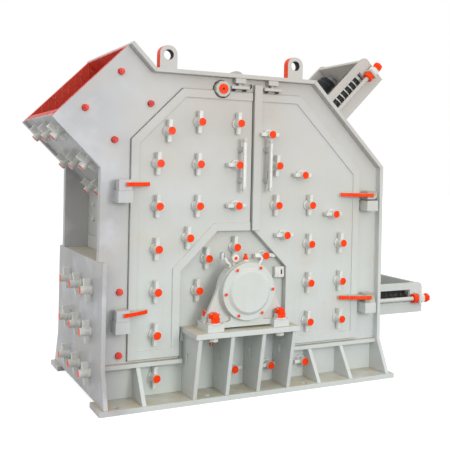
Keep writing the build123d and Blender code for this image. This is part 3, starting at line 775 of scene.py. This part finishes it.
def is_lug_eye(face):
    return is_lug_band(face) and from_lug_eye(face) < lug_eye_r + 0.004


dressed("lifting_lugs", "housing", "housing_paint", 0.004,
        [(is_red_on_lug, red_paint), (is_lug_eye, dark_oxide_and_shade)])

# Liner bolts: a ring on the plate, a bolt with a red end, and a key on edge driven through it
ring_r = 0.039
ring_t = 0.015
bolt_r = 0.029
bolt_length = 0.085
bolt_sides = 24
key_half_w = 0.0135
key_half = 0.080
key_deep = 0.064
key_shallow = 0.040


def make_liner_bolt():
    def is_end(face):
        return face.normal.z > 0.99 and face.center.z > bolt_length - 0.006

    ring = soften(new_disc("ring", ring_r, 0, ring_t, white_paint, bolt_sides), 0.003)
    bolt = new_disc("bolt", bolt_r, 0, bolt_length, white_paint, bolt_sides)
    painted(bolt, is_end, red_paint)
    soften(bolt, 0.003)
    low_corner = (-key_half_w, -key_half, ring_t)
    key = new_block("key", low_corner, (key_half_w, key_half, key_deep), white_paint)
    pick_vertices(key, lambda co: co.y < 0 and co.z > key_shallow)
    bpy.ops.transform.translate(value=(0, 0, key_shallow - key_deep))
    soften(done(key), 0.002)
    return joined("liner_bolt", [bolt, ring, key])


liner_bolt = make_liner_bolt()

row_pitch = 0.300
rows = [0.484 + i * row_pitch for i in range(5)]
foot_row = 0.170
left_columns = [-0.777, -0.472, -0.163]
right_columns = [0.174, 0.471, 0.763]

# Each bolt is its x, its z and the way its key points
left_bolts = [(left_columns[0], z, UP) for z in rows]
left_bolts += [(left_columns[1], rows[3], UP), (left_columns[1], rows[4], UP), (-0.543, 1.157, UP)]
left_bolts += [(left_columns[2], rows[3], FEED), (left_columns[2], rows[4], FEED)]
left_bolts += [(-0.699, 1.915, UP), (-0.468, 1.988, UP), (left_columns[2] + 0.005, 1.990, UP)]
right_bolts = [(right_columns[2], z, UP) for z in rows[:3]]
right_bolts += [(right_columns[1], z, UP) for z in rows[:4]]
right_bolts += [(right_columns[0], rows[3], UP), (right_columns[0], rows[4], UP)]
right_bolts += [(0.250, 1.158, FEED), (0.691, 1.314, FEED), (0.400, 1.616, FEED), (0.106, 1.918, FEED)]
plate_bolts = [(-0.444, 0.769, UP), (-0.373, 0.999, UP), (-0.146, 1.074, UP), (0.095, 1.004, FEED)]
plate_bolts += [(-0.758, foot_row, UP)] + [(x, foot_row, FEED) for x in (-0.147, 0.157, 0.458)]


def both_faces(spots, y):
    """Places of the spots on the front face at y and on its twin at the back."""
    front = [stand((x, y, z), FRONT, top) for x, z, top in spots]
    back = [stand((x, -y, z), BACK, top) for x, z, top in spots]
    return front, back


for spots, y, body, name in (
    (left_bolts, panel_y, "left_END_door", "liner_bolts_left"),
    (right_bolts, panel_y, "right_END_door", "liner_bolts_right"),
    (plate_bolts, plate_y, "housing", "liner_bolts_plate"),
):
    for places, end in zip(both_faces(spots, y), ends):
        keep(copies(f"{name}_{end}", liner_bolt, places), body.replace("END", end))

feed_columns = [-0.371, -0.072, 0.228]
feed_rows = [0.204, 0.496, 0.789]
places = [stand((feed_x, y, z), FEED) for y in feed_columns for z in feed_rows]
chute_sum = 0.4955
chute_rows = [2.530, 2.918, 3.321]
places += [stand(((chute_sum - diff) / 2, y, (chute_sum + diff) / 2), CHUTE_DOWN, CHUTE_UP)
           for diff in chute_rows for y in feed_columns]
keep(copies("liner_bolts_feed", liner_bolt, places), "housing")

# Red hexagon bolts of the side liners
hex_bolt = new_nut("hex_bolt", 0.040, 0.004, 0.026, liner_red, 15)
hex_end = soften(new_disc("hex_end", 0.011, 0.026, 0.034, liner_red, 16), 0.002)
hex_washer = soften(new_disc("hex_washer", 0.0245, 0, 0.005, liner_red, 24), 0.001)
hex_bolt = joined("hex_bolt", [hex_bolt, hex_end, hex_washer])
wall_bolts = [(-1.046, 2.313, UP), (-1.292, 2.051, UP), (-0.828, 2.103, UP),
              (-1.084, 1.841, UP), (-1.028, 0.789, UP), (-1.026, 0.350, UP)]
for places, end in zip(both_faces(wall_bolts, wall_y), ends):
    keep(copies(f"wall_bolts_{end}", hex_bolt, places), "housing")
discard(liner_bolt, hex_bolt)

# Strips that back the gap round the door leaves
gap_strip_w = 0.003
gap_strip_t = 0.034
gap_strip_away = 0.0045
left_corner = (leaf_low.x, 1.850)
right_corner = (right_high.x, 1.651)


def leaf_edge_points(side, edge_x, corner_z):
    """Corners of a line outside a leaf's edge, from the foot up round to the top."""
    away = gap_strip_away
    slant = away * (sqrt(2) - 1)
    top_x = edge_x - side * (leaf_high.z - corner_z)
    top_z = leaf_high.z + away
    return [(edge_x + side * away, ledge_top), (edge_x + side * away, corner_z + slant),
            (top_x + side * slant, top_z), (split_x, top_z)]


gap_strips = []
for side, (edge_x, corner_z) in ((-1, left_corner), (1, right_corner)):
    points = [(x, plate_y, z) for x, z in leaf_edge_points(side, edge_x, corner_z)]
    for start, end in zip(points, points[1:]):
        gap_strips.append(new_strip("gap_strip", start, end, gap_strip_w, gap_strip_t, cream_paint))
pair(joined("gap_strips", gap_strips), "housing", "gap_strips")

# Round posts and end caps of the door handles
handle_post_inset = 0.080
handle_standoff = 0.062
handle_cap_inset = 0.016
for hand in hands:
    posts = []
    for z in (handle_z0 + handle_post_inset, handle_z1 - handle_post_inset):
        post = new_disc("post", 0.019, 0, handle_standoff, cream_paint, 20)
        collar = soften(new_disc("post_collar", 0.024, 0, 0.008, cream_paint, 20), 0.002)
        foot = (handle_xs[hand], panel_y, z)
        posts += [put(post, foot, FRONT), put(collar, foot, FRONT)]
    for z in (handle_z0 + handle_cap_inset, handle_z1 - handle_cap_inset):
        cap = soften(new_disc("handle_cap", 0.0165, 0, 0.030, cream_paint, 16), 0.004)
        posts.append(put(cap, (handle_xs[hand], panel_y - handle_standoff + 0.001, z), FRONT))
    pair(joined("handle_posts", posts), f"{hand}_END_door", f"handle_posts_{hand}")

# Shaft collars with a red disc and a centre hole, whose bottom is painted dark as painted shade
collar_low, collar_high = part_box("shaft_collars")
collar_x = (collar_low.x + collar_high.x) / 2
collar_z = (collar_low.z + collar_high.z) / 2
dressed("shaft_collars", "housing", "housing_paint", 0.004)
disc_r = 0.037
centre_hole_r = 0.009
disc = new_disc("collar_disc", disc_r, 0, 0.006, red_paint, 28)
pressed(disc, lambda face: face.normal.z > 0.99, (disc_r - centre_hole_r, 0), (0.001, -0.005))
painted(disc, lambda face: face.center.xy.length < centre_hole_r - 0.001 and face.normal.z > 0.5, dark_oxide_and_shade)
soften(disc, 0.0008)
pair(put(disc, (collar_x, collar_low.y, collar_z), FRONT), "housing", "collar_discs")

# Clamp bolts under the feet, painted dark as painted shade, and the hook in dark metal
clamp_xs = (-0.148, 0.127)
clamp_foot_z = 2.245
clamp_y = wall_y - 0.028
clamp_bolt_step = 0.045
clamp_bits = []
for x in clamp_xs:
    for step in (-clamp_bolt_step, clamp_bolt_step):
        bolt = new_nut("clamp_bolt", 0.020, 0, 0.014, dark_oxide_and_shade)
        clamp_bits.append(put(bolt, (x + step, clamp_y, clamp_foot_z), -UP, FRONT))
hook_line = [(-0.075, 0.011), (-0.055, 0.012), (-0.048, 0.030), (-0.056, 0.042)]
hook_points = [(x, clamp_y, clamp_foot_z + rise) for x, rise in hook_line]
hook = new_pipe("clamp_hook", hook_points, 0.006, dark_oxide_and_shade)
pair(joined("clamp_bolts", clamp_bits + [hook]), "housing", "clamp_bolts")

# Bearings: rounded castings, cover screws, foot bolts, vent and grease fittings
for end in ends:
    dressed(f"bearing_housing_{end}", "housing", "housing_paint", 0.006)
    dressed(f"bearing_cover_{end}", "housing", "housing_paint", 0.005)

boss_t = 0.020
cover_face = cover_low.y + boss_t
screw_ring_r = 0.187
screw_r = 0.012
screw_count = 6
screws = []
for i in range(screw_count):
    angle = radians(3 + 360 / screw_count * i)
    screw = new_disc("screw", screw_r, 0, 0.012, cream_paint, 18)
    painted(screw, lambda face: face.normal.z > 0.9, red_paint)
    soften(screw, 0.002)
    place = (rotor_x + screw_ring_r * cos(angle), cover_face, rotor_z + screw_ring_r * sin(angle))
    screws.append(put(screw, place, FRONT))
pair(joined("cover_screws", screws), "housing", "cover_screws")

foot_top = 0.564
foot_bolt_step = 0.266
foot_nut_w = 0.075
foot_nut_t = 0.031
foot_washer_t = 0.008
foot_bolt_ys = (-0.750, -0.638)
table_t = 0.037
foot_bolts = []
table_nuts = []
for step, y in ((step, y) for y in foot_bolt_ys for step in (-foot_bolt_step, foot_bolt_step)):
    washer = soften(new_disc("washer", 0.050, 0, foot_washer_t, white_paint, 28), 0.002)
    nut_seam = foot_washer_t + foot_nut_t
    nut_top = nut_seam + foot_nut_t - 0.002
    lower = new_nut("lower_nut", foot_nut_w, foot_washer_t, nut_seam, red_paint, 8)
    upper = new_nut("upper_nut", foot_nut_w, nut_seam, nut_top, red_paint, 31)
    stud = soften(new_disc("stud", 0.023, 0, 0.078, red_paint, 20), 0.003)
    bolt = joined("foot_bolt", [lower, upper, stud])
    painted(bolt, lambda face: face.normal.x < -0.86, cream_paint)
    bolt = joined("foot_bolt", [bolt, washer])
    foot_bolts.append(put(bolt, (rotor_x + step, y, foot_top), UP, BACK))
    under = new_nut("table_nut", 0.060, 0, 0.034, white_paint, 12)
    table_nuts.append(put(under, (rotor_x + step, y, table_high.z - table_t), -UP, BACK))
pair(joined("foot_bolts", foot_bolts), "housing", "foot_bolts")
pair(joined("table_nuts", table_nuts), "housing", "table_nuts")

housing_r = 0.212


def on_housing(x):
    """Height of the bearing housing's round top at x."""
    return rotor_z + sqrt(housing_r ** 2 - (x - rotor_x) ** 2)


fitting_y = -0.700
base = soften(new_disc("vent_base", 0.023, -0.006, 0.010, white_paint, 20), 0.002)
vent = new_disc("vent", 0.0215, 0.010, 0.046, red_paint, 20)
taper(vent, lambda co: co.z > 0.03, (0.36, 0.36, 1))
soften(vent, 0.003)
vent_cap = soften(new_disc("vent_cap", 0.011, 0.044, 0.052, red_paint, 16), 0.003)
vent = put(joined("vent", [vent, vent_cap, base]), (rotor_x, fitting_y, on_housing(rotor_x)), UP, BACK)

knob_x, knob_z = -0.233, 1.016
knob = soften(new_disc("knob", 0.0295, 0, 0.030, white_paint, 8), 0.004)
knob_face = soften(new_disc("knob_face", 0.0125, 0.026, 0.036, red_paint, 16), 0.002)
knob = put(joined("knob", [knob, knob_face]), (knob_x, -0.705, knob_z), FRONT)
stem_points = [(knob_x, fitting_y, on_housing(knob_x) - 0.01), (knob_x, fitting_y, 0.99),
               (knob_x, fitting_y - 0.006, knob_z)]
knob_stem = new_pipe("knob_stem", stem_points, 0.011, white_paint)
elbow = soften(new_disc("elbow", 0.018, -0.024, 0.024, bright_steel, 20), 0.004)
elbow = put(elbow, (-0.325, fitting_y, 1.031), UP, BACK)
grease_points = [(-0.325, fitting_y, 1.020), (-0.300, -0.704, 1.012), (-0.292, -0.706, 0.985),
                 (-0.272, -0.704, 0.978), (-0.262, fitting_y, 0.965), (-0.258, -0.698, 0.940)]
grease_pipe = new_pipe("grease_pipe", grease_points, 0.011, white_paint)
fitting = new_nut("fitting", 0.036, -0.018, 0.018, white_paint, 10)
fitting = put(fitting, (-0.050, fitting_y, 1.024), FEED)
bend_points = [(-0.045, fitting_y, 1.024), (-0.016, -0.702, 1.020), (-0.004, -0.704, 0.995),
               (-0.022, -0.702, 0.972), (-0.034, fitting_y, 0.950)]
fitting_pipe = new_pipe("fitting_pipe", bend_points, 0.010, white_paint)
pair(joined("bearing_fittings", [vent, knob, knob_stem, elbow, grease_pipe, fitting, fitting_pipe]),
     "housing", "bearing_fittings")

# Latch box with its slot, a dark block just proud of the box as painted shade, and the stop above it
latch_face = -0.540
latch = new_block("latch", (0.198, latch_face, 0.828), (0.280, plate_y, 0.912), white_paint)
soften(latch, 0.006, 3)
latch_slot = new_block("latch_slot", (0.248, latch_face - 0.002, 0.852), (0.260, -0.530, 0.890), dark_oxide_and_shade)
soften(latch_slot, 0.003)
pair(joined("latch", [latch, latch_slot]), "housing", "latch_boxes")
stop = new_block("stop", (0.165, latch_face, 0.985), (0.200, plate_y, 1.012), white_paint)
pair(soften(stop, 0.003), "housing", "plate_stops")

# Adjusters: rubber cushions between plates, and painted rods and spindles
cushion_t = 0.0417
cushion_plate_t = 0.013
cushion_r = 0.094
cushion_count = 9
bridge_mid = 0.585
spindle_y = 0.205


def adjuster_origin(bridge, out):
    low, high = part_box(bridge)
    return (low + high) / 2 - out * bridge_mid


slope_out = Vector((1, 0, 1)).normalized()
rear_out = Vector((1, 0, 0))
adjusters = [(adjuster_origin("adjuster_bridge_upper", slope_out), slope_out),
             (adjuster_origin("adjuster_bridge_lower", rear_out), rear_out)]


def reach_out(face):
    """How far a face of an adjuster lies out from its wall."""
    def astray(line):
        return (face.center - line[0]).cross(line[1]).dot(BACK) ** 2

    origin, out = min(adjusters, key=astray)
    return (face.center - origin).dot(out)


cushion = soften(new_disc("cushion", cushion_r, 0, cushion_t, black_rubber, 28), 0.012, 3)
# The plates are black as painted shade; only the upper stacks' outer faces are pale, as painted light.
cushion_plate = new_disc("cushion_plate", cushion_r - 0.004, 0, cushion_plate_t, black_rubber, 28)
soften(cushion_plate, 0.002)
cushion_places, plate_places = [], []
for origin, out in adjusters:
    for y in (-spindle_y, spindle_y):
        for i in range(cushion_count + 1):
            at = i * (cushion_t + cushion_plate_t)
            if i < cushion_count:
                cushion_places.append(stand(origin + BACK * y + out * at, out, BACK))
                at += cushion_t
            plate_places.append(stand(origin + BACK * y + out * at, out, BACK))
cushions = copies("rubber_cushions", cushion, cushion_places)
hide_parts("rubber_springs")
keep(cushions, "housing")


def is_lit_plate(face):
    """The faces of the upper stacks' plates that lie out past the spindles, painted pale as painted light;
    the other plate faces stay black as painted shade.
    """
    return abs(face.center.y) > spindle_y + 0.055 and face.center.z > 1.5


plates = copies("cushion_plates", cushion_plate, plate_places)
painted(plates, is_lit_plate, white_paint)
keep(plates, "housing")
discard(cushion, cushion_plate)


def rod_part(start, end):
    """Faces of the rods and spindles between two distances out from the wall."""
    return lambda face: start < reach_out(face) < end


beyond = 0.9
inner_nuts = rod_part(0.502, 0.5465)
lock_nuts = rod_part(0.5675, 0.6105)
outer_nuts = rod_part(0.6112, beyond)
dressed("adjuster_rods", "housing", "housing_paint", 0.002,
        [(inner_nuts, red_paint), (lock_nuts, white_paint), (outer_nuts, red_paint)])
spindle_nuts = rod_part(0.6385, beyond)
dressed("adjuster_spindles", "housing", "machined_steel", 0.002, [(spindle_nuts, red_paint)])

# The second nut at each side rod's end, turned against the first
rod_y = 0.386
end_nut_from, end_nut_to = 0.638, 0.662
end_nuts = []
for origin, out in adjusters:
    nut = new_nut("end_nut", 0.070, end_nut_from, end_nut_to, red_paint, 30)
    end_nuts.append(put(nut, origin - BACK * rod_y, out, BACK))
pair(joined("end_nuts", end_nuts), "housing", "end_nuts")

# The small bolt on the wall pad
pad_bolt = soften(new_disc("pad_bolt", 0.014, 0, 0.006, red_paint, 18), 0.001)
pad_bolt_hole = soften(new_disc("pad_bolt_hole", 0.008, 0.004, 0.008, white_paint, 14), 0.001)
pad_bolt = put(joined("pad_bolt", [pad_bolt, pad_bolt_hole]), (-0.308, plate_y, 0.357), FRONT)
pair(pad_bolt, "housing", "pad_bolts")

# Ribs and seams on the side liners of the chute
liner_low_sum, liner_high_sum = 0.5737, 1.4718
liner_high_diff = 3.4994
liner_low_diff = 2.594
liner_face = 0.475
rib_w = 0.005
rib_t = 0.003
rib_pitch = 0.052
slant_pitch = 0.090
slant_angle = radians(-31)


def liner_span(x, z, along_x, along_z):
    """The two ends of a line through (x, z) where it crosses the liner's outline."""
    first, last = -9.0, 9.0
    for value, speed, low, high in (
        (x + z, along_x + along_z, liner_low_sum, liner_high_sum),
        (z - x, along_z - along_x, liner_low_diff, liner_high_diff),
    ):
        if abs(speed) < 1e-6:
            continue
        a, b = sorted(((low - value) / speed, (high - value) / speed))
        first, last = max(first, a), min(last, b)
    if last - first < 0.03:
        return None
    return [(x + along_x * t, z + along_z * t) for t in (first, last)]


ribs = []


def add_rib(x, z, along_x, along_z):
    """A rib through (x, z), as long as the liner."""
    span = liner_span(x, z, along_x, along_z)
    if span:
        start, end = [(x, liner_face, z) for x, z in span]
        ribs.append(new_strip("rib", start, end, rib_w, rib_t, pale_red))


middle_x = -1.01
middle_z = 2.02
for i in range(-9, 10):
    add_rib(middle_x + i * rib_pitch, middle_z, 0, 1)
for i in range(-7, 8):
    add_rib(middle_x, middle_z + i * slant_pitch / cos(slant_angle), cos(slant_angle), sin(slant_angle))
rib_set = joined("liner_ribs_back", ribs)

# Red front edge of the chute floor, then the ribs' twin on the other wall
edge_sum = 0.5275
edge_w = 0.025
edge_t = 0.002
edge_half = 0.5
edge_x, edge_z = (edge_sum - liner_high_diff) / 2, (edge_sum + liner_high_diff) / 2
mouth_edge = new_strip("mouth_edge", (edge_x, -edge_half, edge_z), (edge_x, edge_half, edge_z),
                       edge_w, edge_t, liner_red, CHUTE_UP)
keep(mouth_edge, "housing")
twin = mirrored(rib_set, "liner_ribs_front")
keep(rib_set, "housing")
keep(twin, "housing")

# Weld beads along the seams that show
welds = []
flange_x = rear_x - 0.031
welds.append(new_weld((flange_x, wall_y, ledge_top + 0.02), (flange_x, wall_y, 1.690)))
lug_front_y, lug_inner_y = -0.548, -0.480
for x in lug_xs:
    for side_x in (x - lug_w / 2, x + lug_w / 2):
        welds.append(new_weld((side_x, lug_front_y, lug_low.z), (side_x, lug_inner_y, lug_low.z)))
    weld_y = lug_front_y + 0.001
    welds.append(new_weld((x - lug_w / 2, weld_y, lug_low.z), (x + lug_w / 2, weld_y, lug_low.z)))
pin_offset = 0.065
pin_xs = {"left": leaf_low.x - pin_offset, "right": right_high.x + pin_offset}
block_half_w = 0.052
block_h = 0.080
for hand, zs in hinge_zs.items():
    for z in zs:
        for weld_x in (pin_xs[hand] - block_half_w, pin_xs[hand] + block_half_w):
            welds.append(new_weld((weld_x, wall_y, z - block_h), (weld_x, wall_y, z - 0.002)))
corner_x = feed_x + 0.034
corner_y = plate_y - 0.035
welds.append(new_weld((corner_x, corner_y, 0.30), (corner_x, corner_y, 0.99), 0.005))
pair(joined("weld_beads", welds), "housing", "weld_beads")

# Box in the feed recess, with its bolts
recess_x = -0.987
recess_box_t = 0.014
recess_box = new_block("recess_box", (recess_x - recess_box_t, 0.150, 1.001), (recess_x, 0.416, 1.104),
                       cream_paint)
recess_bits = [soften(recess_box, 0.003)]
for z in (1.233, 1.351):
    bolt = new_nut("recess_bolt", 0.030, 0, 0.016, white_paint)
    recess_bits.append(put(bolt, (recess_x, 0.300, z), FEED))
keep(joined("recess_fittings", recess_bits), "housing")

# Camera, light and floor


def add_camera():
    """The photograph's own camera: 27.1 degrees round from the front, near the left corner."""
    turn = radians(27.10)
    roll = 0.0207
    data = bpy.data.cameras.new("photo_camera")
    camera = bpy.data.objects.new("photo_camera", data)
    bpy.context.scene.collection.objects.link(camera)
    level = Matrix.Rotation(-turn, 4, "Z") @ Matrix.Rotation(pi / 2, 4, "X")
    place = level @ Matrix.Rotation(roll, 4, "Z")
    place.translation = (-2.588, -5.527, 1.683)
    camera.matrix_world = place
    data.sensor_width = 36
    data.lens = 59.66
    data.shift_x = -0.0556
    data.shift_y = -0.1324
    data.clip_end = 100
    bpy.context.scene.camera = camera


def add_lamp(name, place, target, size, watts, colour=(1, 1, 1)):
    """A square soft box that looks at its target."""
    data = bpy.data.lights.new(name, "AREA")
    data.size = size
    data.energy = watts
    data.color = colour
    lamp = bpy.data.objects.new(name, data)
    lamp.location = place
    lamp.rotation_euler = (Vector(target) - Vector(place)).to_track_quat("-Z", "Y").to_euler()
    bpy.context.scene.collection.objects.link(lamp)


def to_the_eye(owner):
    """One for what the camera, gloss and glass see, and nothing for the light that falls."""
    path = node(owner, "ShaderNodeLightPath")
    seen = node(owner, "ShaderNodeMath", operation="MAXIMUM")
    join(owner, path.outputs["Is Camera Ray"], seen.inputs[0])
    join(owner, path.outputs["Is Glossy Ray"], seen.inputs[1])
    also = node(owner, "ShaderNodeMath", operation="MAXIMUM")
    join(owner, seen.outputs[0], also.inputs[0])
    join(owner, path.outputs["Is Transmission Ray"], also.inputs[1])
    return also.outputs[0]


world_light = 1.08
floor_grey = 0.28
floor_glow = 0.86


def add_world():
    """Plain white surroundings, a little stronger as light than they look."""
    world = bpy.data.worlds.new("studio")
    world.use_nodes = True
    bpy.context.scene.world = world
    glow = node(world, "ShaderNodeMapRange")
    glow.inputs["To Min"].default_value = world_light
    glow.inputs["To Max"].default_value = 1.0
    join(world, to_the_eye(world), glow.inputs["Value"])
    background = world.node_tree.nodes["Background"]
    background.inputs["Color"].default_value = (1, 1, 1, 1)
    join(world, glow.outputs["Result"], background.inputs["Strength"])


def add_floor():
    """A plain floor: grey to the light, and white with the object's shadow to the eye."""
    clear_selection()
    bpy.ops.mesh.primitive_plane_add(size=60, location=(0, 0, cad_low.z - 0.001))
    floor = bpy.context.object
    floor.name = "floor"
    white = new_finish("floor_white", (floor_grey, floor_grey, floor_grey), 0.9)
    shader = shader_of(white)
    shader.inputs["Emission Color"].default_value = (1, 1, 1, 1)
    join(white, share(white, to_the_eye(white), floor_glow), shader.inputs["Emission Strength"])
    floor.data.materials.append(white)


add_camera()
add_world()
add_floor()
middle = (cad_low + cad_high) / 2
add_lamp("key", (0.45, -5.4, 2.1), middle, 1.2, 70)
add_lamp("fill", (-0.2, -6.5, 2.4), middle, 4.0, 54)
add_lamp("side", (-6.5, 1.5, 6.0), middle, 1.5, 18, (0.96, 0.98, 1.0))
bpy.context.scene.view_settings.view_transform = "Standard"
